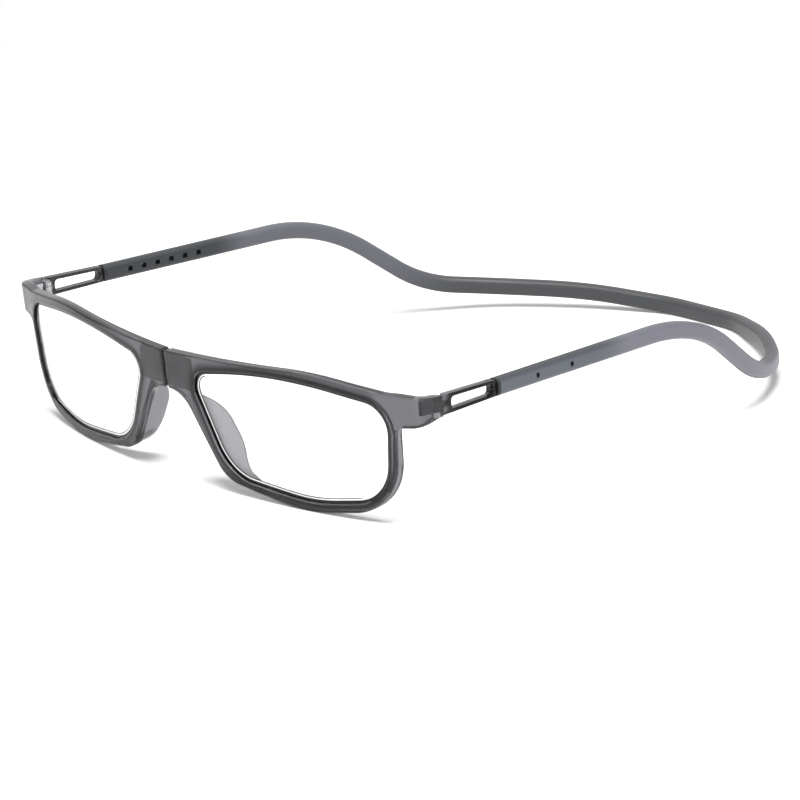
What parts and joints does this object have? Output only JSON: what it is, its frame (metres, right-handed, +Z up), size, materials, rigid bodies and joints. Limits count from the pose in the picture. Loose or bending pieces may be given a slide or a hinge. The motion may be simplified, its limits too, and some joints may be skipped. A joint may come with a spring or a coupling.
{
  "type": "magnetic front reading glasses",
  "caption": "Reading glasses whose front parts at a magnetic bridge, with slotted hinged arms that slide in a springy neck band.",
  "frame": {"origin": "on the surface the glasses stand on, under the middle of their overall box", "axes": "+X to the wearer's left, +Y from the lenses back to the neck band, +Z up"},
  "size_m": [0.1386, 0.1472, 0.0293],
  "materials": {
    "smoke_plastic": "translucent smoky grey, polished",
    "lens": "clear polished plastic lens",
    "magnet": "plated, satin",
    "insert": "dark, matte",
    "hinge_metal": "satin",
    "band": "soft matte grey",
    "trim": "black, matte"
  },
  "bodies": {
    "band_left": {"neck_band_left": "band", "stop_ring_left": "trim"},
    "arm_left": {"temple_arm_left": "smoke_plastic", "hinge_temple_leaf_left": "hinge_metal"},
    "front_left": {"rim_left": "smoke_plastic", "lens_left": "lens", "magnet_left": "magnet", "magnet_insert_left": "insert", "hinge_front_leaf_left": "hinge_metal", "hinge_screw_left": "hinge_metal"},
    "band_right": {"neck_band_right": "band", "stop_ring_right": "trim"},
    "arm_right": {"temple_arm_right": "smoke_plastic", "hinge_temple_leaf_right": "hinge_metal"},
    "front_right": {"rim_right": "smoke_plastic", "lens_right": "lens", "magnet_right": "magnet", "magnet_insert_right": "insert", "hinge_front_leaf_right": "hinge_metal", "hinge_screw_right": "hinge_metal"}
  },
  "joints": [
    {"name": "band_flex", "type": "hinge", "parent": "band_left", "child": "band_right", "pos_m": [0, 0.07357, 0.0018], "axis": [0, 0, -1], "range_deg": [0, 45], "stiffness_Nm_per_rad": 0.15},
    {"name": "left_length_adjust", "type": "slide", "parent": "band_left", "child": "arm_left", "axis": [0.0715, -0.9974, 0], "range_m": [0, 0.014]},
    {"name": "left_front_fold", "type": "hinge", "parent": "arm_left", "child": "front_left", "pos_m": [0.0668, -0.05613, 0.0249], "axis": [0, 0, -1], "range_deg": [0, 90]},
    {"name": "right_length_adjust", "type": "slide", "parent": "band_right", "child": "arm_right", "axis": [-0.0715, -0.9974, 0], "range_m": [0, 0.014]},
    {"name": "right_front_fold", "type": "hinge", "parent": "arm_right", "child": "front_right", "pos_m": [-0.0668, -0.05613, 0.0249], "axis": [0, 0, 1], "range_deg": [0, 90]}
  ]
}
